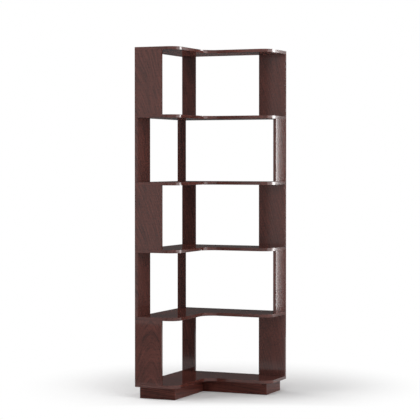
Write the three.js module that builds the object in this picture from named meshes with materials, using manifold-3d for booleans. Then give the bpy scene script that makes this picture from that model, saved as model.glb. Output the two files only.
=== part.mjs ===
// Corner shelf unit: six L-shaped boards on a recessed plinth, held apart by flat panels that turn a
// quarter from one bay to the next. The panels plug into the boards with dowels and are drawn tight by
// cam fittings.
// Millimetres, +Z up, floor at Z = 0. Inside the unit group the room's corner stands at X = 0, Y = 0:
// the right arm runs along +X and the left arm along -Y, so the open side of the L faces the viewer.

import * as THREE from "three";
import { mergeVertices } from "three/addons/utils/BufferGeometryUtils.js";
import Module from "manifold-3d";

const wasm = await Module();
wasm.setup();

// Boards and bays
const overallHeight = 1800;
const leftArmLength = 600;
const rightArmLength = 600;
const armDepth = 236;
const shelfThickness = 16;
const endCornerRadius = 60;
const innerCornerRadius = 70;
const bayCount = 5;

// Upright panels
const panelThickness = 16;
const endPanelWidth = 150;
const cornerPanelWidth = 76;

// Plinth
const plinthHeight = 60;
const plinthThickness = 16;
const plinthWallInset = 15;
const plinthFrontInset = 24;
const plinthEndInset = 28;

// Dowels, glued into the panels and plinth boards and pushed into blind bores of the shelves
const dowelRadius = 4;
const dowelSpacing = 45;
const cornerDowelSpacing = 24;
const plinthDowelEndDistance = 40;
const boreFloor = 5;

// Cam fittings: a disc in the face of the panel and a bolt that runs down into the shelf
const camRadius = 7.5;
const camSetback = 34;
const camPocketFloor = 3.5;
const camSlotWidth = 2.4;
const camSlotLength = 11;
const camSlotDepth = 2.5;
const boltShankRadius = 3.5;
const boltThreadRadius = 2.5;

// Running clearance round everything that is pushed into a bore, and how far a cutter overruns a face
const fitClearance = 0.3;
const cutOverrun = 1;

// Facets
const cornerSegments = 10;
const dowelSides = 8;
const boltSides = 8;
const camSides = 12;

// Worked-out sizes: the bays share what the plinth and the boards leave of the height
const bayPitch = (overallHeight - plinthHeight - shelfThickness) / bayCount;
const bayHeight = bayPitch - shelfThickness;
const boreDepth = shelfThickness - boreFloor;
const pegLength = boreDepth - fitClearance;
const camHeight = panelThickness - camPocketFloor - fitClearance;

const colours = { wood: 0x5c403b, zinc: 0xb4b4b0 };

function woodMaterial() {
  return new THREE.MeshStandardMaterial({ color: colours.wood, roughness: 0.42, metalness: 0 });
}

function zincMaterial() {
  return new THREE.MeshStandardMaterial({ color: colours.zinc, roughness: 0.4, metalness: 1 });
}

// A closed three.js geometry as a solid that can be joined and cut
function solidFrom(geometry) {
  geometry.deleteAttribute("normal");
  geometry.deleteAttribute("uv");
  const merged = mergeVertices(geometry);
  return new wasm.Manifold(new wasm.Mesh({
    numProp: 3,
    vertProperties: new Float32Array(merged.getAttribute("position").array),
    triVerts: new Uint32Array(merged.getIndex().array),
  }));
}

function geometryFrom(solid) {
  const mesh = solid.getMesh();
  const geometry = new THREE.BufferGeometry();
  geometry.setAttribute("position", new THREE.BufferAttribute(mesh.vertProperties, mesh.numProp));
  geometry.setIndex(new THREE.BufferAttribute(mesh.triVerts, 1));
  geometry.computeVertexNormals();
  return geometry;
}

// A block between two opposite corners
function block(low, high) {
  const size = high.map((value, axis) => value - low[axis]);
  const centre = high.map((value, axis) => (value + low[axis]) / 2);
  return solidFrom(new THREE.BoxGeometry(...size).translate(...centre));
}

// An upright round bar from one height to another
function uprightBar(radius, sides, place, fromHeight, toHeight) {
  const bar = new THREE.CylinderGeometry(radius, radius, toHeight - fromHeight, sides);
  bar.rotateX(Math.PI / 2);
  bar.translate(place[0], place[1], (fromHeight + toHeight) / 2);
  return solidFrom(bar);
}

// A round bar lying along Y, across the thickness of a panel that has not been turned
function crossBar(radius, sides, alongWidth, height, fromDepth, toDepth) {
  const bar = new THREE.CylinderGeometry(radius, radius, toDepth - fromDepth, sides);
  bar.translate(alongWidth, (fromDepth + toDepth) / 2, height);
  return solidFrom(bar);
}

// Plan of a shelf board: an L with square corners at the walls, a large round at the open corner of each
// arm's end and a fillet in the inner corner
function shelfOutline() {
  const outline = new THREE.Shape();
  const half = Math.PI / 2;
  const round = endCornerRadius;
  const fillet = innerCornerRadius;
  outline.moveTo(0, 0);
  outline.lineTo(0, -leftArmLength);
  outline.lineTo(armDepth - round, -leftArmLength);
  outline.absarc(armDepth - round, round - leftArmLength, round, -half, 0, false);
  outline.lineTo(armDepth, -armDepth - fillet);
  outline.absarc(armDepth + fillet, -armDepth - fillet, fillet, Math.PI, half, true);
  outline.lineTo(rightArmLength - round, -armDepth);
  outline.absarc(rightArmLength - round, round - armDepth, round, -half, 0, false);
  outline.lineTo(rightArmLength, 0);
  outline.closePath();
  return outline;
}

// The upright panels of a bay. Seen in plan, bays 1, 3 and 5 have them lying along X, and bays 2 and 4
// along Y. An unturned panel spans from its corner towards +X and +Y, and a turned one towards +Y and -X.
// dowels gives the places along the panel's width, from its corner, and bolt that of the cam fitting.
function bayPanels(bay) {
  const turned = bay % 2 === 0;
  const endBolt = endPanelWidth / 2;
  const endDowels = [endBolt - dowelSpacing, endBolt + dowelSpacing];
  const cornerBolt = cornerPanelWidth / 2;
  const end = { width: endPanelWidth, bolt: endBolt, dowels: endDowels, turned };
  const corner = { width: cornerPanelWidth, bolt: cornerBolt, turned };
  if (turned) {
    return [
      { ...end, name: "left", x: panelThickness, y: -leftArmLength },
      { ...corner, name: "corner", x: panelThickness, y: -cornerPanelWidth,
        dowels: [cornerBolt - cornerDowelSpacing] },
      { ...end, name: "right", x: rightArmLength, y: -endPanelWidth },
    ];
  }
  return [
    { ...end, name: "left", x: 0, y: -leftArmLength },
    { ...corner, name: "corner", x: 0, y: -panelThickness, dowels: [cornerBolt + cornerDowelSpacing] },
    { ...end, name: "right", x: rightArmLength - endPanelWidth, y: -panelThickness },
  ];
}

// Where a point on a panel's centre line falls in plan
function placeInPlan(panel, along) {
  const middle = panelThickness / 2;
  return panel.turned ? [panel.x - middle, panel.y + along] : [panel.x + along, panel.y + middle];
}

function bayFloor(bay) {
  return plinthHeight + shelfThickness + (bay - 1) * bayPitch;
}

// The six plinth boards as blocks in plan. The end boards cover the ends of the long ones, and the left
// inner board runs past the right inner one where they meet.
function plinthBoards() {
  const t = plinthThickness;
  const wall = plinthWallInset;
  const front = armDepth - plinthFrontInset;
  const leftEnd = leftArmLength - plinthEndInset;
  const rightEnd = rightArmLength - plinthEndInset;
  return [
    { name: "plinth_left_end", low: [wall, -leftEnd], high: [front, -leftEnd + t] },
    { name: "plinth_left_inner", low: [front - t, -leftEnd + t], high: [front, -front + t] },
    { name: "plinth_right_inner", low: [front, -front], high: [rightEnd - t, -front + t] },
    { name: "plinth_right_end", low: [rightEnd - t, -front], high: [rightEnd, -wall] },
    { name: "plinth_back", low: [wall, -wall - t], high: [rightEnd - t, -wall] },
    { name: "plinth_left_wall", low: [wall, -leftEnd + t], high: [wall + t, -wall - t] },
  ];
}

// Two dowels stand in the top edge of each plinth board, the same distance from either end
function plinthDowelPlaces(board) {
  const size = [board.high[0] - board.low[0], board.high[1] - board.low[1]];
  const along = size[0] > size[1] ? 0 : 1;
  const middle = [(board.low[0] + board.high[0]) / 2, (board.low[1] + board.high[1]) / 2];
  const first = board.low[along] + plinthDowelEndDistance;
  const last = board.high[along] - plinthDowelEndDistance;
  return [first, last].map((value) => {
    const place = [...middle];
    place[along] = value;
    return place;
  });
}

// A shelf board, bored from above for the bay that stands on it and from below for the bay or plinth that
// carries it
function shelfBoard(underside, boresAbove, boresBelow) {
  const plate = new THREE.ExtrudeGeometry(shelfOutline(), {
    depth: shelfThickness, bevelEnabled: false, curveSegments: cornerSegments,
  });
  let board = solidFrom(plate.translate(0, 0, underside));
  const topside = underside + shelfThickness;
  const above = [topside - boreDepth, topside + cutOverrun];
  const below = [underside - cutOverrun, underside + boreDepth];
  for (const [bores, heights] of [[boresAbove, above], [boresBelow, below]]) {
    for (const bore of bores) {
      board = board.subtract(uprightBar(bore.radius, bore.sides, bore.place, ...heights));
    }
  }
  return board;
}

function dowelBore(place) {
  return { radius: dowelRadius + fitClearance, sides: dowelSides, place };
}

function boltBore(place) {
  return { radius: boltThreadRadius + fitClearance, sides: boltSides, place };
}

function panelBores(bay) {
  return bayPanels(bay).flatMap((panel) => [
    boltBore(placeInPlan(panel, panel.bolt)),
    ...panel.dowels.map((along) => dowelBore(placeInPlan(panel, along))),
  ]);
}

function plinthBores() {
  return plinthBoards().flatMap((board) => plinthDowelPlaces(board).map(dowelBore));
}

// An upright panel before it is turned: its dowels stick out of both ends, and at each end a pocket in the
// face at +Y takes the cam, with a bore from the pocket to the end for the bolt
function uprightPanel(panel) {
  const middle = panelThickness / 2;
  let solid = block([0, 0, 0], [panel.width, panelThickness, bayHeight]);
  for (const along of panel.dowels) {
    const place = [along, middle];
    solid = solid.add(uprightBar(dowelRadius, dowelSides, place, -pegLength, bayHeight + pegLength));
  }
  const pocketRadius = camRadius + fitClearance;
  const shankRadius = boltShankRadius + fitClearance;
  const open = panelThickness + cutOverrun;
  const lower = { pocket: camSetback, from: -cutOverrun, to: camSetback };
  const upper = { pocket: bayHeight - camSetback, from: bayHeight - camSetback, to: bayHeight + cutOverrun };
  for (const cut of [lower, upper]) {
    const pocket = crossBar(pocketRadius, camSides, panel.bolt, cut.pocket, camPocketFloor, open);
    const shankBore = uprightBar(shankRadius, boltSides, [panel.bolt, middle], cut.from, cut.to);
    solid = solid.subtract(pocket).subtract(shankBore);
  }
  return solid;
}

// A cam fitting at the lower end of an unturned panel: a disc with a cross slot, flush with the panel's
// face, and a bolt whose shoulder seats on the shelf and whose thread goes into it. The upper one is the
// same, upside down.
function camFitting(panel) {
  const middle = panelThickness / 2;
  const place = [panel.bolt, middle];
  const discFloor = panelThickness - camHeight;
  const disc = crossBar(camRadius, camSides, panel.bolt, camSetback, discFloor, panelThickness);
  const shank = uprightBar(boltShankRadius, boltSides, place, 0, camSetback);
  const thread = uprightBar(boltThreadRadius, boltSides, place, -pegLength, camSetback);
  const slotFloor = panelThickness - camSlotDepth;
  const slotTop = panelThickness + cutOverrun;
  const halfLength = camSlotLength / 2;
  const halfWidth = camSlotWidth / 2;
  const slots = [[halfLength, halfWidth], [halfWidth, halfLength]].map(([reachX, reachZ]) => block(
    [panel.bolt - reachX, slotFloor, camSetback - reachZ],
    [panel.bolt + reachX, slotTop, camSetback + reachZ],
  ));
  return disc.add(shank).add(thread).subtract(slots[0]).subtract(slots[1]);
}

function upsideDown(solid) {
  return solid.mirror([0, 0, 1]).translate([0, 0, bayHeight]);
}

function named(name, solid, material) {
  const mesh = new THREE.Mesh(geometryFrom(solid), material);
  mesh.name = name;
  return mesh;
}

function shelfName(level) {
  if (level === 0) return "base_board";
  return level === bayCount ? "top_board" : `shelf_${level}`;
}

// Assembly
const unit = new THREE.Group();
unit.position.set(-rightArmLength / 2, leftArmLength / 2, 0);

for (const board of plinthBoards()) {
  let solid = block([...board.low, 0], [...board.high, plinthHeight]);
  for (const place of plinthDowelPlaces(board)) {
    solid = solid.add(uprightBar(dowelRadius, dowelSides, place, 0, plinthHeight + pegLength));
  }
  unit.add(named(board.name, solid, woodMaterial()));
}

for (let level = 0; level <= bayCount; level += 1) {
  const above = level < bayCount ? panelBores(level + 1) : [];
  const below = level > 0 ? panelBores(level) : plinthBores();
  const board = shelfBoard(plinthHeight + level * bayPitch, above, below);
  unit.add(named(shelfName(level), board, woodMaterial()));
}

for (let bay = 1; bay <= bayCount; bay += 1) {
  for (const panel of bayPanels(bay)) {
    const stand = new THREE.Group();
    stand.position.set(panel.x, panel.y, bayFloor(bay));
    stand.rotation.z = panel.turned ? Math.PI / 2 : 0;
    const title = `bay${bay}_${panel.name}`;
    const cam = camFitting(panel);
    stand.add(named(`${title}_panel`, uprightPanel(panel), woodMaterial()));
    stand.add(named(`${title}_cam_lower`, cam, zincMaterial()));
    stand.add(named(`${title}_cam_upper`, upsideDown(cam), zincMaterial()));
    unit.add(stand);
  }
}

const cornerShelfUnit = new THREE.Group();
cornerShelfUnit.add(unit);

export default cornerShelfUnit;
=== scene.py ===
import math
import random

import bmesh
import bpy
from mathutils import Matrix, Vector


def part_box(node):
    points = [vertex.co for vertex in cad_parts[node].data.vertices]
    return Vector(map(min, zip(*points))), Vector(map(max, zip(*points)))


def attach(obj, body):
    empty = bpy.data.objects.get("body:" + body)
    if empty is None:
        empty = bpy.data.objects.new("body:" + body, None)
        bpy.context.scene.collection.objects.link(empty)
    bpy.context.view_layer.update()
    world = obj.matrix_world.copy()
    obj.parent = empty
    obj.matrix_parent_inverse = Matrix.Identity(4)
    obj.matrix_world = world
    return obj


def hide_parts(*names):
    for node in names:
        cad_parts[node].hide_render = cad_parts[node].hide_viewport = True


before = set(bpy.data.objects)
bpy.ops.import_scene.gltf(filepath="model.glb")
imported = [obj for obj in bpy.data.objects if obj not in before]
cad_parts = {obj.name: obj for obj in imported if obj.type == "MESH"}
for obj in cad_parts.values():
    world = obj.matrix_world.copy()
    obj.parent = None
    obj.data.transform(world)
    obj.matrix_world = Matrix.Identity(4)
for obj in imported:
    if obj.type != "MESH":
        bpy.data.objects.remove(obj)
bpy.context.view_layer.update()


# Camera: a long lens about 8.4 m away, to the right of the open corner of the L and at two thirds of the
# unit's height. It tilts down by little more than a degree, and a small shift brings the rest of the
# photograph's framing, so that the uprights stay almost parallel.
CAMERA_PLACE = (3.3355, -7.6865, 1.2156)
CAMERA_TILT = math.radians(88.813)
CAMERA_TURN = math.radians(23.525)
CAMERA_LENS = 137.815
CAMERA_SENSOR = 36
CAMERA_SHIFT = -0.036
CAMERA_SIGHT = 60

lens = bpy.data.cameras.new("camera")
lens.lens = CAMERA_LENS
lens.sensor_width = CAMERA_SENSOR
lens.shift_y = CAMERA_SHIFT
lens.clip_end = CAMERA_SIGHT
camera = bpy.data.objects.new("camera", lens)
camera.location = CAMERA_PLACE
camera.rotation_euler = (CAMERA_TILT, 0, CAMERA_TURN)
bpy.context.scene.collection.objects.link(camera)
bpy.context.scene.camera = camera


# L-shaped boards: 16 mm veneered board, cut to an L with a large round at the open corner of each arm and
# a fillet in the inner corner. The edges are lipped with veneer, every arris is eased with fine paper, and
# the whole is stained and lacquered. The panels' dowels and cam bolts hold the boards.
SHELVES = ["base_board", "shelf_1", "shelf_2", "shelf_3", "shelf_4", "top_board"]
ARM_DEPTH = 0.236
END_ROUND = 0.060
INNER_ROUND = 0.070
ROUND_SEGMENTS = 24
ARRIS = 0.0005
ARRIS_SEGMENTS = 2
SHARP_FOLD = math.radians(60)
LEVEL_NORMAL = 0.7
# how the veneer is laid: how far its crown may lie off a board's middle, where along the flitch a leaf may
# come from, and the strip beside the crown that the lipping is cut from, drawn out along the edge
CROWN_WANDER = 0.03
LEAF_FROM, LEAF_TO = 1, 40
LIPPING_FLANK = 0.2
LIPPING_STRETCH = 0.4


def round_edges(bm, edges, radius, segments):
    """Rounds the edges with a circular profile."""
    bmesh.ops.bevel(bm, geom=edges, offset=radius, offset_type="OFFSET", affect="EDGES", segments=segments,
                    profile=0.5, material=-1, clamp_overlap=True)


def ease_arrises(bm):
    """Eases every sharp outer edge, as sandpaper does before lacquering."""
    sharp = [edge for edge in bm.edges if edge.is_manifold and edge.calc_face_angle() > SHARP_FOLD]
    round_edges(bm, sharp, ARRIS, ARRIS_SEGMENTS)


def grain_map(mesh, node, upright, flank):
    """Lays the veneer: a UV map in metres, across the grain and along it. The grain stands up on upright
    boards, runs along X on the faces of level ones, and follows the lipping round their edges, where it is
    drawn out because lipping is cut from straight-grained wood. flank is how far the crown of the cut lies
    to the left of the board's middle."""
    leaf = random.Random(node)
    middle = sum((Vector(corner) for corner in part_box(node)), Vector()) / 2
    across_shift = leaf.uniform(-CROWN_WANDER, CROWN_WANDER) if flank is None else flank
    along_shift = leaf.uniform(LEAF_FROM, LEAF_TO)
    layer = mesh.uv_layers.new(name="grain")
    for face in mesh.polygons:
        level = abs(face.normal.z) > LEVEL_NORMAL
        for loop in face.loop_indices:
            x, y, z = mesh.vertices[mesh.loops[loop].vertex_index].co - middle
            if level:
                across, along = y, x
            elif upright:
                across, along = x + y, z
            else:
                across, along = z + LIPPING_FLANK, (x + y) * LIPPING_STRETCH
            layer.data[loop].uv = (across + across_shift, along + along_shift)


def finish_board(bm, node, upright, material, flank=None, tone_and_shade=0):
    """Turns a finished bmesh into the piece that stands for a CAD board. The last argument lightens or
    darkens
    the whole veneer: painted shade on the corner panels, and a lighter tone on the right ones."""
    bmesh.ops.recalc_face_normals(bm, faces=bm.faces)
    mesh = bpy.data.meshes.new(f"{node}_veneered")
    bm.to_mesh(mesh)
    bm.free()
    for face in mesh.polygons:
        face.use_smooth = True
    grain_map(mesh, node, upright, flank)
    # the piece's own share of the tone: painted shade on the corner panels, a lighter tone on the right
    # ones
    tone_shade_layer = mesh.attributes.new("tone_and_shade", "FLOAT", "POINT")
    tone_shade_layer.data.foreach_set("value", [tone_and_shade] * len(mesh.vertices))
    mesh.materials.append(material)
    piece = bpy.data.objects.new(f"{node}_veneered", mesh)
    bpy.context.scene.collection.objects.link(piece)
    # the large faces lead the shading, so that they look flat up to their arrises
    shading = piece.modifiers.new("flat_faces", "WEIGHTED_NORMAL")
    shading.keep_sharp = True
    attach(piece, "root")
    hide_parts(node)


def linear(text):
    """An sRGB hex colour as linear RGBA."""
    values = [int(text[i:i + 2], 16) / 255 for i in (1, 3, 5)]
    return (*[v / 12.92 if v <= 0.04045 else ((v + 0.055) / 1.055) ** 2.4 for v in values], 1)


def add_node(tree, kind, inputs=None, **settings):
    """Adds a node with its settings. inputs maps a socket, by its number or name, to a value or to the
    socket that feeds it."""
    made = tree.nodes.new(kind)
    for name, value in settings.items():
        setattr(made, name, value)
    for socket, value in (inputs or {}).items():
        if isinstance(value, bpy.types.NodeSocket):
            tree.links.new(value, made.inputs[socket])
        else:
            made.inputs[socket].default_value = value
    return made


# the veneer's arches: from the crown of the leaf to its edge in metres, the power of the arches' curve, and
# rings per metre across the leaf and along it
CROWN_TO_EDGE = 0.26
ARCH_POWER = 1.5
RINGS_ACROSS = 150
RINGS_ALONG = 24
# its noise fields: cells per metre across the grain and along it, and octaves
GRAIN_FIELDS = {"wander": (8, 2.2, 1.0), "ripple": (50, 9, 1.0), "breaks": (48, 8, 1.0),
                "fibre": (420, 9, 3.0), "pore": (1400, 70, 1.0), "patch": (16, 3, 3.0)}
# by how many rings the wander and the ripple bend the arches
WANDER_REACH = 3.0
RIPPLE_REACH = 0.6
# from the dark to the light of a ring, where it breaks off, and where a pore ends
LATE_WOOD = (0.05, 0.30)
RING_BREAKS = (0.40, 0.62)
PORE_EDGE = (0.34, 0.42)
# streaks of stain: units per metre along the grain, where a ring is a unit across it, then cells per unit
# and octaves
STREAK_ALONG = 4.0
STREAK_SCALE = 1.9
STREAK_OCTAVES = 2.0
# what each adds to the tone, and the tones with the darkest and the lightest colour
RING_SHARE = 0.20
STREAK_SHARE = 1.5
FIBRE_SHARE = 0.2
PATCH_SHARE = 0.4
DARK_TONE, LIGHT_TONE = 0.80, 1.50
PORE_COLOUR = "#24120f"
# the lacquer's spread of roughness, and how it lies: the pores' share of its height, and its depth
ROUGHNESS_SPREAD = 0.02
PORE_HEIGHT = 0.7
BUMP_STRENGTH = 0.08
BUMP_DEPTH = 0.00002


def stained_veneer(name, dark, light, roughness, ior):
    """Crown-cut ash veneer, stained dark brown, under a hard, polished lacquer that mirrors lamps with a
    clear edge. A crown cut shows the growth rings as arches that lean down both flanks of the leaf. The
    colouring fills the open pores, which gives broken dark strokes, and goes on in streaks along the rings.
    Rings are 3 to 5 mm apart in ash, and are drawn 9 to 14 mm apart on the flanks and 42 mm along the
    crown, the finest that show from across a room. The streaks are about 7 mm wide and 130 mm long, and
    patches about 60 mm by 330 mm. Pores of 0.2 mm are drawn 0.7 mm by 14 mm, and fibres 2.4 mm wide."""
    material = bpy.data.materials.new(name)
    material.use_nodes = True
    tree = material.node_tree
    shader = tree.nodes["Principled BSDF"]
    place = add_node(tree, "ShaderNodeUVMap", uv_map="grain").outputs[0]
    field = {}
    for title, (across_scale, along_scale, octaves) in GRAIN_FIELDS.items():
        stretch = add_node(tree, "ShaderNodeMapping", {0: place, 3: (across_scale, along_scale, 1)})
        field[title] = add_node(tree, "ShaderNodeTexNoise", {0: stretch.outputs[0], "Scale": 1.0,
                                                             "Detail": octaves}).outputs[0]
    # arches of the growth rings, bent by a slow wander and a quick ripple
    split = add_node(tree, "ShaderNodeSeparateXYZ", {0: place})
    across = add_node(tree, "ShaderNodeMath", {0: split.outputs[0], 1: CROWN_TO_EDGE},
                      operation="PINGPONG").outputs[0]
    curved = add_node(tree, "ShaderNodeMath", {0: across, 1: ARCH_POWER}, operation="POWER").outputs[0]
    arch = add_node(tree, "ShaderNodeMath", {0: curved, 1: RINGS_ACROSS}, operation="MULTIPLY").outputs[0]
    climb = add_node(tree, "ShaderNodeMath", {0: split.outputs[1], 1: RINGS_ALONG, 2: arch},
                     operation="MULTIPLY_ADD").outputs[0]
    wander = add_node(tree, "ShaderNodeMath", {0: field["wander"], 1: WANDER_REACH, 2: climb},
                      operation="MULTIPLY_ADD").outputs[0]
    ripple = add_node(tree, "ShaderNodeMath", {0: field["ripple"], 1: RIPPLE_REACH, 2: wander},
                      operation="MULTIPLY_ADD").outputs[0]
    season = add_node(tree, "ShaderNodeMath", {0: ripple, 1: 0.5}, operation="PINGPONG").outputs[0]
    line = add_node(tree, "ShaderNodeMapRange", {0: season, 1: LATE_WOOD[0], 2: LATE_WOOD[1]},
                    interpolation_type="SMOOTHSTEP").outputs[0]
    broken = add_node(tree, "ShaderNodeMapRange", {0: field["breaks"], 1: RING_BREAKS[0], 2: RING_BREAKS[1],
                                                   3: 1.0, 4: 0.0}).outputs[0]
    rings = add_node(tree, "ShaderNodeMath", {0: line, 1: broken}, operation="MAXIMUM").outputs[0]
    # streaks that follow the rings
    drawn_out = add_node(tree, "ShaderNodeMath", {0: split.outputs[1], 1: STREAK_ALONG},
                         operation="MULTIPLY").outputs[0]
    follow = add_node(tree, "ShaderNodeCombineXYZ", {0: wander, 1: drawn_out}).outputs[0]
    streak = add_node(tree, "ShaderNodeTexNoise", {0: follow, "Scale": STREAK_SCALE,
                                                   "Detail": STREAK_OCTAVES}).outputs[0]
    # tone: rings, streaks, fibres and patches that took more or less of the colouring, and the piece's own
    # share, which on the corner panels is painted shade for the corner they stand in
    ring_tone = add_node(tree, "ShaderNodeMath", {0: rings, 1: RING_SHARE}, operation="MULTIPLY").outputs[0]
    streak_tone = add_node(tree, "ShaderNodeMath", {0: streak, 1: STREAK_SHARE, 2: ring_tone},
                           operation="MULTIPLY_ADD").outputs[0]
    fibre_tone = add_node(tree, "ShaderNodeMath", {0: field["fibre"], 1: FIBRE_SHARE, 2: streak_tone},
                          operation="MULTIPLY_ADD").outputs[0]
    patch_tone = add_node(tree, "ShaderNodeMath", {0: field["patch"], 1: PATCH_SHARE, 2: fibre_tone},
                          operation="MULTIPLY_ADD").outputs[0]
    tone_and_shade = add_node(tree, "ShaderNodeAttribute", attribute_name="tone_and_shade").outputs["Fac"]
    tone_with_shade = add_node(tree, "ShaderNodeMath", {0: patch_tone, 1: tone_and_shade}, operation="ADD").outputs[0]
    tone = add_node(tree, "ShaderNodeMapRange", {0: tone_with_shade, 1: DARK_TONE, 2: LIGHT_TONE}).outputs[0]
    stained = add_node(tree, "ShaderNodeMix", {0: tone, 6: linear(dark), 7: linear(light)},
                       data_type="RGBA").outputs[2]
    pores = add_node(tree, "ShaderNodeMapRange", {0: field["pore"], 1: PORE_EDGE[0],
                                                  2: PORE_EDGE[1]}).outputs[0]
    pored = add_node(tree, "ShaderNodeMix", {0: pores, 6: linear(PORE_COLOUR), 7: stained},
                     data_type="RGBA").outputs[2]
    tree.links.new(pored, shader.inputs["Base Color"])
    # lacquer: it is a little duller over some fibres, and hardly sinks into the pores
    rough = add_node(tree, "ShaderNodeMapRange", {0: field["fibre"], 3: roughness - ROUGHNESS_SPREAD,
                                                  4: roughness + ROUGHNESS_SPREAD}).outputs[0]
    tree.links.new(rough, shader.inputs["Roughness"])
    height = add_node(tree, "ShaderNodeMath", {0: pores, 1: PORE_HEIGHT, 2: field["fibre"]},
                      operation="MULTIPLY_ADD").outputs[0]
    bump = add_node(tree, "ShaderNodeBump", {"Strength": BUMP_STRENGTH, "Distance": BUMP_DEPTH,
                                             "Height": height}).outputs[0]
    tree.links.new(bump, shader.inputs["Normal"])
    shader.inputs["IOR"].default_value = ior
    return material


# the finish of the boards and panels: darkest and lightest colour, and the lacquer's roughness and IOR
BOARD_FINISH = ("#41221d", "#673830", 0.10, 1.45)
shelf_veneer = stained_veneer("stained_ash_veneer_boards", *BOARD_FINISH)


def level_board(node):
    """An L-shaped board: the outline as six corners, pulled up, then rounded."""
    low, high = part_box(node)
    inner_x = low.x + ARM_DEPTH
    inner_y = high.y - ARM_DEPTH
    bm = bmesh.new()
    outline = [(low.x, high.y), (low.x, low.y), (inner_x, low.y), (inner_x, inner_y), (high.x, inner_y),
               (high.x, high.y)]
    face = bm.faces.new([bm.verts.new((x, y, low.z)) for x, y in outline])
    pulled = bmesh.ops.extrude_face_region(bm, geom=[face])
    raised = [item for item in pulled["geom"] if isinstance(item, bmesh.types.BMVert)]
    bmesh.ops.translate(bm, vec=(0, 0, high.z - low.z), verts=raised)
    bmesh.ops.recalc_face_normals(bm, faces=bm.faces)

    def upright_edges(places):
        return [edge for edge in bm.edges if abs(edge.verts[0].co.z - edge.verts[1].co.z) > ARRIS
                and any((Vector(place) - edge.verts[0].co.xy).length < ARRIS for place in places)]

    round_edges(bm, upright_edges([(inner_x, low.y), (high.x, inner_y)]), END_ROUND, ROUND_SEGMENTS)
    round_edges(bm, upright_edges([(inner_x, inner_y)]), INNER_ROUND, ROUND_SEGMENTS)
    ease_arrises(bm)
    finish_board(bm, node, False, shelf_veneer)


for shelf in SHELVES:
    level_board(shelf)


# Upright panels: 16 mm veneered board, 150 mm wide at the ends of the arms and 76 mm in the corner, with
# the grain standing up. Each stands between two boards on hidden dowels, and two round pockets in its less
# visible face hold the cams that draw it tight.
BAYS = range(1, 6)
SIDES = ("left", "corner", "right")
PANEL_HEIGHT = 0.3288
PANEL_THICKNESS = 0.016
CAM_SETBACK = 0.034
POCKET_RADIUS = 0.0078
POCKET_DEPTH = 0.0125
POCKET_FRAME = 0.012
DISC_SEGMENTS = 32
# each side's own share of the tone: the corner panels are darkened as painted shade for the corner they
# stand in, and the right panels are made a little lighter
PANEL_TONE_AND_SHADE = {"left": 0, "corner": -0.15, "right": 0.10}
# how far the crown of the cut lies to the left of a panel's middle: the further, the straighter its rings
CROWN_OFFSET = {"left": 0.100, "corner": 0.185, "right": 0.170}
CROWN_IN_MIDDLE = "bay1_left_panel"

panel_veneer = stained_veneer("stained_ash_veneer_panels", *BOARD_FINISH)


def stand_up(bm, node, turned):
    """Moves a panel, or a fitting in it, from the panel's own frame to its place. In that frame the panel's
    width runs along X and its pockets open towards +Y, and a turned panel has them towards -X."""
    low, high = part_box(node)
    turn = Matrix.Rotation(math.radians(90 if turned else 0), 4, "Z")
    bmesh.ops.transform(bm, matrix=Matrix.Translation((low + high) / 2) @ turn, verts=bm.verts)


def sunk_outline(bm, outer, inner, depth):
    """Fills the flat between an outer loop of edges and an inner one, and sinks a flat-bottomed recess with
    the inner loop's shape, whose edges stay crisp."""
    bmesh.ops.triangle_fill(bm, use_beauty=True, edges=outer + inner, normal=(0, 1, 0))
    pulled = bmesh.ops.extrude_edge_only(bm, edges=inner)["geom"]
    sunk = [item for item in pulled if isinstance(item, bmesh.types.BMVert)]
    foot = [item for item in pulled
            if isinstance(item, bmesh.types.BMEdge) and all(vert in sunk for vert in item.verts)]
    bmesh.ops.translate(bm, vec=(0, -depth, 0), verts=sunk)
    bmesh.ops.contextual_create(bm, geom=foot)
    for edge in inner + foot:
        edge.smooth = False


def disc_edges(bm, radius, place):
    """A circle of edges that faces along Y."""
    facing = Matrix.Translation(place) @ Matrix.Rotation(math.radians(90), 4, "X")
    made = bmesh.ops.create_circle(bm, cap_ends=False, segments=DISC_SEGMENTS, radius=radius, matrix=facing)
    return list({edge for vert in made["verts"] for edge in vert.link_edges})


def upright_panel(bay, side):
    """An upright panel with eased arrises, and a cam pocket near each end of the face at +Y."""
    node = f"bay{bay}_{side}_panel"
    low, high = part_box(node)
    turned = bay % 2 == 0
    width = high.y - low.y if turned else high.x - low.x
    face_y = PANEL_THICKNESS / 2
    bm = bmesh.new()
    bmesh.ops.create_cube(bm, size=1, matrix=Matrix.Diagonal((width, PANEL_THICKNESS, PANEL_HEIGHT, 1)))
    ease_arrises(bm)
    # cuts that mark off a square of the face round each pocket
    heights = [sign * (PANEL_HEIGHT / 2 - CAM_SETBACK) for sign in (-1, 1)]
    offsets = (-POCKET_FRAME, POCKET_FRAME)
    cuts = [((offset, 0, 0), (1, 0, 0)) for offset in offsets]
    cuts += [((0, 0, height + offset), (0, 0, 1)) for height in heights for offset in offsets]
    for place, across in cuts:
        everything = bm.verts[:] + bm.edges[:] + bm.faces[:]
        bmesh.ops.bisect_plane(bm, geom=everything, plane_co=place, plane_no=across)
    for height in heights:
        place = Vector((0, face_y, height))
        cell = min(bm.faces, key=lambda face: (face.calc_center_median() - place).length)
        outer = list(cell.edges)
        bmesh.ops.delete(bm, geom=[cell], context="FACES_ONLY")
        sunk_outline(bm, outer, disc_edges(bm, POCKET_RADIUS, place), POCKET_DEPTH)
    stand_up(bm, node, turned)
    flank = None if node == CROWN_IN_MIDDLE else CROWN_OFFSET[side]
    finish_board(bm, node, True, panel_veneer, flank, PANEL_TONE_AND_SHADE[side])


for bay in BAYS:
    for side in SIDES:
        upright_panel(bay, side)


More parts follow.
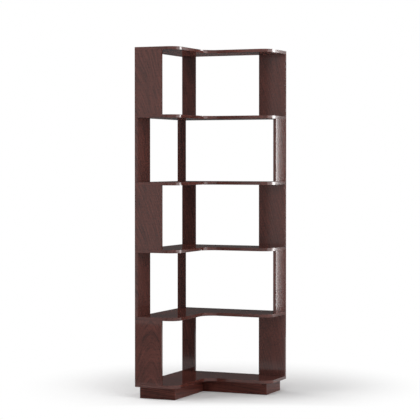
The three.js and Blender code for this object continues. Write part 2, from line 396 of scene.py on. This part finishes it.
# Plinth: six 16 mm veneered boards on edge, set back under the base board and dowelled up into it, with the
# grain running level. They are stained darker than the boards and only sealed, so they shine less.
PLINTH_BOARDS = ["plinth_left_end", "plinth_left_inner", "plinth_right_inner", "plinth_right_end",
                 "plinth_back", "plinth_left_wall"]
PLINTH_HEIGHT = 0.060
PLINTH_FINISH = ("#2c1410", "#6c3930", 0.35, 1.25)

plinth_veneer = stained_veneer("stained_ash_veneer_plinth", *PLINTH_FINISH)


def plinth_board(node):
    """A plinth board with eased arrises, standing on the floor."""
    low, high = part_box(node)
    high.z = PLINTH_HEIGHT
    size = Matrix.Diagonal((*(high - low), 1))
    bm = bmesh.new()
    bmesh.ops.create_cube(bm, size=1, matrix=Matrix.Translation((low + high) / 2) @ size)
    ease_arrises(bm)
    finish_board(bm, node, False, plinth_veneer)


for board in PLINTH_BOARDS:
    plinth_board(board)


# Cam fittings: die-cast zinc discs, flush with the panels, with a cross slot for the screwdriver and a
# bevelled rim. The bolt that each one grips runs inside the panel and down or up into the board.
CAM_RADIUS = 0.0075
CAM_HEIGHT = 0.0122
CAM_BEVEL = 0.0005
SLOT_REACH = 0.0055
SLOT_HALF = 0.0012
SLOT_DEPTH = 0.0025
SHANK_RADIUS = 0.0035
THREAD_RADIUS = 0.0025
THREAD_CORE = 0.0019
THREAD_LENGTH = 0.0107
THREAD_PITCH = 0.0013
BOLT_STEPS = 16
SAME_POINT = 0.000001

# die-cast zinc: a grey metal, bright, but clouded by the mould, which blurs what it mirrors. The clouds are
# about 1 mm wide.
ZINC_DARK, ZINC_LIGHT = "#8f8f8a", "#c2c2bc"
ZINC_CLOUDS = 900
ZINC_OCTAVES = 2
ZINC_ROUGHNESS = (0.3, 0.5)

zinc = bpy.data.materials.new("die_cast_zinc")
zinc.use_nodes = True
cast = zinc.node_tree
cast_place = add_node(cast, "ShaderNodeTexCoord").outputs["Object"]
clouds = add_node(cast, "ShaderNodeTexNoise", {0: cast_place, "Scale": ZINC_CLOUDS,
                                               "Detail": ZINC_OCTAVES}).outputs[0]
cast_colour = add_node(cast, "ShaderNodeMix", {0: clouds, 6: linear(ZINC_DARK), 7: linear(ZINC_LIGHT)},
                       data_type="RGBA").outputs[2]
cast_rough = add_node(cast, "ShaderNodeMapRange", {0: clouds, 3: ZINC_ROUGHNESS[0],
                                                   4: ZINC_ROUGHNESS[1]}).outputs[0]
zinc_shader = cast.nodes["Principled BSDF"]
zinc_shader.inputs["Metallic"].default_value = 1
cast.links.new(cast_colour, zinc_shader.inputs["Base Color"])
cast.links.new(cast_rough, zinc_shader.inputs["Roughness"])


def cam_fitting(bay, side, end):
    """A cam and its bolt, made for the lower end of an unturned panel and turned over for the upper end."""
    node = f"bay{bay}_{side}_cam_{end}"
    face_y = PANEL_THICKNESS / 2
    height = CAM_SETBACK - PANEL_HEIGHT / 2
    bm = bmesh.new()
    back = disc_edges(bm, CAM_RADIUS, (0, face_y - CAM_HEIGHT, height))
    wall = disc_edges(bm, CAM_RADIUS, (0, face_y - CAM_BEVEL, height))
    rim = disc_edges(bm, CAM_RADIUS - CAM_BEVEL, (0, face_y, height))
    bmesh.ops.contextual_create(bm, geom=back)
    bmesh.ops.bridge_loops(bm, edges=back + wall)
    bmesh.ops.bridge_loops(bm, edges=wall + rim)
    # the cross slot, corner by corner
    far, near = SLOT_REACH, SLOT_HALF
    cross = [(far, near), (near, near), (near, far), (-near, far), (-near, near), (-far, near),
             (-far, -near), (-near, -near), (-near, -far), (near, -far), (near, -near), (far, -near)]
    corners = [bm.verts.new((x, face_y, height + z)) for x, z in cross]
    slot = [bm.edges.new((corners[i - 1], corners[i])) for i in range(len(corners))]
    sunk_outline(bm, rim, slot, SLOT_DEPTH)
    # the bolt's profile, from the cam's middle to the tip, spun round
    seat = -PANEL_HEIGHT / 2
    profile = [(0, height), (SHANK_RADIUS, height), (SHANK_RADIUS, seat)]
    for turn in range(int(THREAD_LENGTH / THREAD_PITCH)):
        root = seat - turn * THREAD_PITCH
        profile += [(THREAD_CORE, root), (THREAD_RADIUS, root - THREAD_PITCH / 2)]
    profile += [(THREAD_CORE, seat - THREAD_LENGTH), (0, seat - THREAD_LENGTH)]
    line = [bm.verts.new((reach, 0, z)) for reach, z in profile]
    edges = [bm.edges.new(pair) for pair in zip(line, line[1:])]
    bmesh.ops.spin(bm, geom=line + edges, cent=(0, 0, 0), axis=(0, 0, 1), angle=math.tau, steps=BOLT_STEPS,
                   use_merge=True)
    bmesh.ops.remove_doubles(bm, verts=bm.verts, dist=SAME_POINT)
    if end == "upper":
        bmesh.ops.scale(bm, vec=(1, 1, -1), verts=bm.verts)
    bmesh.ops.recalc_face_normals(bm, faces=bm.faces)
    stand_up(bm, f"bay{bay}_{side}_panel", bay % 2 == 0)
    mesh = bpy.data.meshes.new(f"{node}_cast")
    bm.to_mesh(mesh)
    bm.free()
    mesh.materials.append(zinc)
    piece = bpy.data.objects.new(f"{node}_cast", mesh)
    bpy.context.scene.collection.objects.link(piece)
    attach(piece, "root")
    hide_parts(node)


for bay in BAYS:
    for side in SIDES:
        for end in ("lower", "upper"):
            cam_fitting(bay, side, end)


# Floor: a pale, matt painted studio floor, which keeps the unit's shadow. For the eye, and for what the
# lacquer mirrors, it fades into the white surround away from the unit and towards the camera.
FLOOR_RADIUS = 12
FLOOR_SEGMENTS = 64
FLOOR_COLOUR = "#e7e7e7"
FLOOR_ROUGHNESS = 0.9
FLOOR_SPECULAR = 0.1
FADE_CENTRE = (-0.1, 0.35, 0)
FADE_FROM, FADE_TO = 0.45, 1.15
FRONT_WAY = (0.4, -0.917, 0)
FRONT_FROM, FRONT_TO = 0.21, 0.46
WHITE = linear("#ffffff")

floor_bm = bmesh.new()
bmesh.ops.create_circle(floor_bm, cap_ends=True, segments=FLOOR_SEGMENTS, radius=FLOOR_RADIUS)
floor_mesh = bpy.data.meshes.new("floor")
floor_bm.to_mesh(floor_mesh)
floor_bm.free()
floor = bpy.data.objects.new("floor", floor_mesh)
bpy.context.scene.collection.objects.link(floor)

# matt paint: it scatters almost all of the light and shines only faintly
pale = bpy.data.materials.new("painted_floor")
pale.use_nodes = True
paint = pale.node_tree
paint_shader = paint.nodes["Principled BSDF"]
paint_shader.inputs["Base Color"].default_value = linear(FLOOR_COLOUR)
paint_shader.inputs["Roughness"].default_value = FLOOR_ROUGHNESS
paint_shader.inputs["Specular IOR Level"].default_value = FLOOR_SPECULAR
floor_place = add_node(paint, "ShaderNodeTexCoord").outputs["Object"]
distance = add_node(paint, "ShaderNodeVectorMath", {0: floor_place, 1: FADE_CENTRE},
                    operation="DISTANCE").outputs["Value"]
fade = add_node(paint, "ShaderNodeMapRange", {0: distance, 1: FADE_FROM, 2: FADE_TO},
                interpolation_type="SMOOTHSTEP").outputs[0]
ahead = add_node(paint, "ShaderNodeVectorMath", {0: floor_place, 1: FRONT_WAY},
                 operation="DOT_PRODUCT").outputs["Value"]
front = add_node(paint, "ShaderNodeMapRange", {0: ahead, 1: FRONT_FROM, 2: FRONT_TO},
                 interpolation_type="SMOOTHSTEP").outputs[0]
faded = add_node(paint, "ShaderNodeMath", {0: fade, 1: front}, operation="MAXIMUM").outputs[0]
path = add_node(paint, "ShaderNodeLightPath").outputs
mirrored = add_node(paint, "ShaderNodeMath", {0: path["Is Camera Ray"], 1: path["Is Glossy Ray"]},
                    operation="MAXIMUM").outputs[0]
seen = add_node(paint, "ShaderNodeMath", {0: mirrored, 1: path["Is Transmission Ray"]},
                operation="MAXIMUM").outputs[0]
blend = add_node(paint, "ShaderNodeMath", {0: faded, 1: seen}, operation="MULTIPLY").outputs[0]
white = add_node(paint, "ShaderNodeEmission", {0: WHITE, 1: 1.0}).outputs[0]
mixed = add_node(paint, "ShaderNodeMixShader", {0: blend, 1: paint_shader.outputs[0], 2: white}).outputs[0]
paint.links.new(mixed, paint.nodes["Material Output"].inputs[0])
floor_mesh.materials.append(pale)


# Soft boxes: eight square lamps, 4 m away all round, which light the unit but don't show in the lacquer.
# For each: the way that it stands, in degrees from the front towards the right, its height in degrees above
# the unit's middle, and its power in watts.
SOFTBOX_REACH = 4
SOFTBOX_SIZE = (1.9, 1.9)
SOFTBOX_AIM = Vector((0, 0, 0.9))
SOFTBOXES = {"top": (0, 90, 66), "left_high": (-60, 62, 82), "left_rear": (-120, 8, 78),
             "right_front": (60, 35, 47), "right": (90, 8, 51), "rear": (180, 8, 40),
             "front_high": (30, 48, 26), "front": (0, 8, 15)}


def soft_lamp(name, place, aim, size, watts):
    """A rectangular soft lamp, which the camera doesn't see."""
    light = bpy.data.lights.new(name, "AREA")
    light.shape = "RECTANGLE"
    light.size, light.size_y = size
    light.energy = watts
    lamp = bpy.data.objects.new(name, light)
    lamp.location = place
    lamp.rotation_euler = (Vector(aim) - Vector(place)).to_track_quat("-Z", "Y").to_euler()
    lamp.visible_camera = False
    bpy.context.scene.collection.objects.link(lamp)
    return lamp


for name, (turn, rise, watts) in SOFTBOXES.items():
    round_by, up_by = math.radians(turn), math.radians(rise)
    level_reach = SOFTBOX_REACH * math.cos(up_by)
    offset = Vector((level_reach * math.sin(round_by), -level_reach * math.cos(round_by),
                     SOFTBOX_REACH * math.sin(up_by)))
    box = soft_lamp(f"{name}_softbox", SOFTBOX_AIM + offset, SOFTBOX_AIM, SOFTBOX_SIZE, watts)
    box.visible_glossy = False


# Bright cards: upright lamps close to the unit on its right, which only the lacquer of one board or of the
# right arm's end panels mirrors, so that no other face glares. Strips as high as a board's edge draw the
# highlights on its rounded corners, and two narrow cards those on the panels.
REAR_WAY = (-0.82, -0.573)
SIDE_WAY = (-0.91, -0.39)
# the rows of cards: place in plan, the way that they face, and width. The dim veil row stands beyond the
# end of the bright one and lights the flat edges beside the highlights.
BRIGHT_ROW = ((0.925, 0.822), REAR_WAY, 0.785)
SIDE_ROW = ((1.40, -0.08), SIDE_WAY, 1.26)
VEIL_ROW = ((0.647, 1.220), REAR_WAY, 0.185)
PANEL_ROW = ((0.763, 1.053), REAR_WAY, 0.22)
# lower and upper end, and power in watts per square metre. The side row has the heights of the bright one.
BRIGHT_STRIPS = {"shelf_1": (0.35, 0.42, 28.7), "shelf_2": (0.64, 0.735, 28.7),
                 "shelf_3": (1.04, 1.125, 40), "shelf_4": (1.445, 1.515, 40),
                 "top_board": (1.835, 1.92, 40)}
SIDE_POWER = 9.8
VEIL_STRIPS = {"shelf_1": (0.22, 0.34, 0.5), "shelf_2": (0.63, 0.735, 0.9), "shelf_3": (1.05, 1.12, 0.9),
               "shelf_4": (1.445, 1.52, 1.0), "top_board": (1.84, 1.94, 3.0)}
PANEL_CARDS = {"lower_panel": (0.35, 0.75, 28.7), "upper_panel": (0.75, 2.15, 40)}


def serve(lamp, nodes):
    """Lets a lamp light the pieces of the named boards alone."""
    served = bpy.data.collections.new(f"{lamp.name}_serves")
    for node in nodes:
        served.objects.link(bpy.data.objects[f"{node}_veneered"])
    lamp.light_linking.receiver_collection = served


def lacquer_card(name, row, low, high, power, nodes):
    """A bright upright card that only the lacquer of the named boards mirrors."""
    place, way, width = row
    middle = Vector((*place, (low + high) / 2))
    card = soft_lamp(name, middle, middle + Vector((*way, 0)), (width, high - low),
                     power * width * (high - low))
    card.visible_diffuse = False
    serve(card, nodes)


for node, (low, high, power) in VEIL_STRIPS.items():
    lacquer_card(f"{node}_veil_strip", VEIL_ROW, low, high, power, [node])
for node, (low, high, power) in BRIGHT_STRIPS.items():
    lacquer_card(f"{node}_strip", BRIGHT_ROW, low, high, power, [node])
    lacquer_card(f"{node}_side_strip", SIDE_ROW, low, high, SIDE_POWER, [node])
for name, (low, high, power) in PANEL_CARDS.items():
    lacquer_card(f"{name}_card", PANEL_ROW, low, high, power, [f"bay{bay}_right_panel" for bay in BAYS])


# Bounce: a low lamp behind the unit, which gives the underside of the top board the light that a pale floor
# throws up. It lights that board alone.
BOUNCE_PLACE = (0.3, 1.8, 0.1)
BOUNCE_AIM = (0, 0.1, 1.78)
BOUNCE_SIZE = (1.2, 1.2)
BOUNCE_WATTS = 85

bounce = soft_lamp("floor_bounce", BOUNCE_PLACE, BOUNCE_AIM, BOUNCE_SIZE, BOUNCE_WATTS)
bounce.visible_glossy = False
serve(bounce, ["top_board"])


# Dark cards: grey card, upright across the view, behind the unit and in front of it on the left. Only the
# lacquer sees them, and they keep the level faces and the corner panels from mirroring the white surround.
# For each: left and right end, depth, lower and upper end, and brightness against the white surround.
DARK_CARDS = {"rear": (-4.3, 1.345, 2.8, -0.3, 3.1, 0.07),
              "upper_corner": (-1.1, -0.63, -0.8, 1.3, 2.4, 0.33),
              "lower_corner": (-1.1, -0.63, -0.8, -0.3, 1.3, 0.16),
              "narrow": (-0.36, -0.215, -0.8, 0.33, 2.2, 0.4),
              "low": (-0.63, -0.12, -0.8, -0.1, 0.33, 0.45)}


def dark_card(name, left, right, depth, low, high, brightness):
    """A dark card across the view, which only the lacquer sees."""
    card_bm = bmesh.new()
    bmesh.ops.create_grid(card_bm, x_segments=1, y_segments=1, size=0.5)
    bmesh.ops.scale(card_bm, vec=(right - left, high - low, 1), verts=card_bm.verts)
    bmesh.ops.rotate(card_bm, matrix=Matrix.Rotation(math.radians(90), 3, "X"), verts=card_bm.verts)
    bmesh.ops.translate(card_bm, vec=((left + right) / 2, depth, (low + high) / 2), verts=card_bm.verts)
    mesh = bpy.data.meshes.new(name)
    card_bm.to_mesh(mesh)
    card_bm.free()
    card = bpy.data.objects.new(name, mesh)
    bpy.context.scene.collection.objects.link(card)
    card.visible_camera = False
    card.visible_diffuse = False
    card.visible_shadow = False
    card.visible_transmission = False
    paper = bpy.data.materials.new(f"{name}_paper")
    paper.use_nodes = True
    tree = paper.node_tree
    tone = add_node(tree, "ShaderNodeEmission", {0: WHITE, 1: brightness}).outputs[0]
    tree.links.new(tone, tree.nodes["Material Output"].inputs[0])
    mesh.materials.append(paper)


for name, measures in DARK_CARDS.items():
    dark_card(f"{name}_card", *measures)


# Surround: white for the eye and for what the lacquer and the zinc mirror, and a faint fill for the rest,
# so that the lamps alone shape the light on the unit.
AMBIENT = 0.03

world = bpy.data.worlds.new("surround")
bpy.context.scene.world = world
world.use_nodes = True
sky = world.node_tree
sight = add_node(sky, "ShaderNodeLightPath").outputs
sharp = add_node(sky, "ShaderNodeMath", {0: sight["Is Camera Ray"], 1: sight["Is Glossy Ray"]},
                 operation="MAXIMUM").outputs[0]
clear = add_node(sky, "ShaderNodeMath", {0: sharp, 1: sight["Is Transmission Ray"]},
                 operation="MAXIMUM").outputs[0]
glow = add_node(sky, "ShaderNodeMix", {0: clear, 2: AMBIENT, 3: 1.0}, data_type="FLOAT").outputs[0]
background = sky.nodes["Background"]
sky.links.new(glow, background.inputs["Strength"])
background.inputs["Color"].default_value = WHITE

bpy.context.scene.view_settings.view_transform = "Standard"
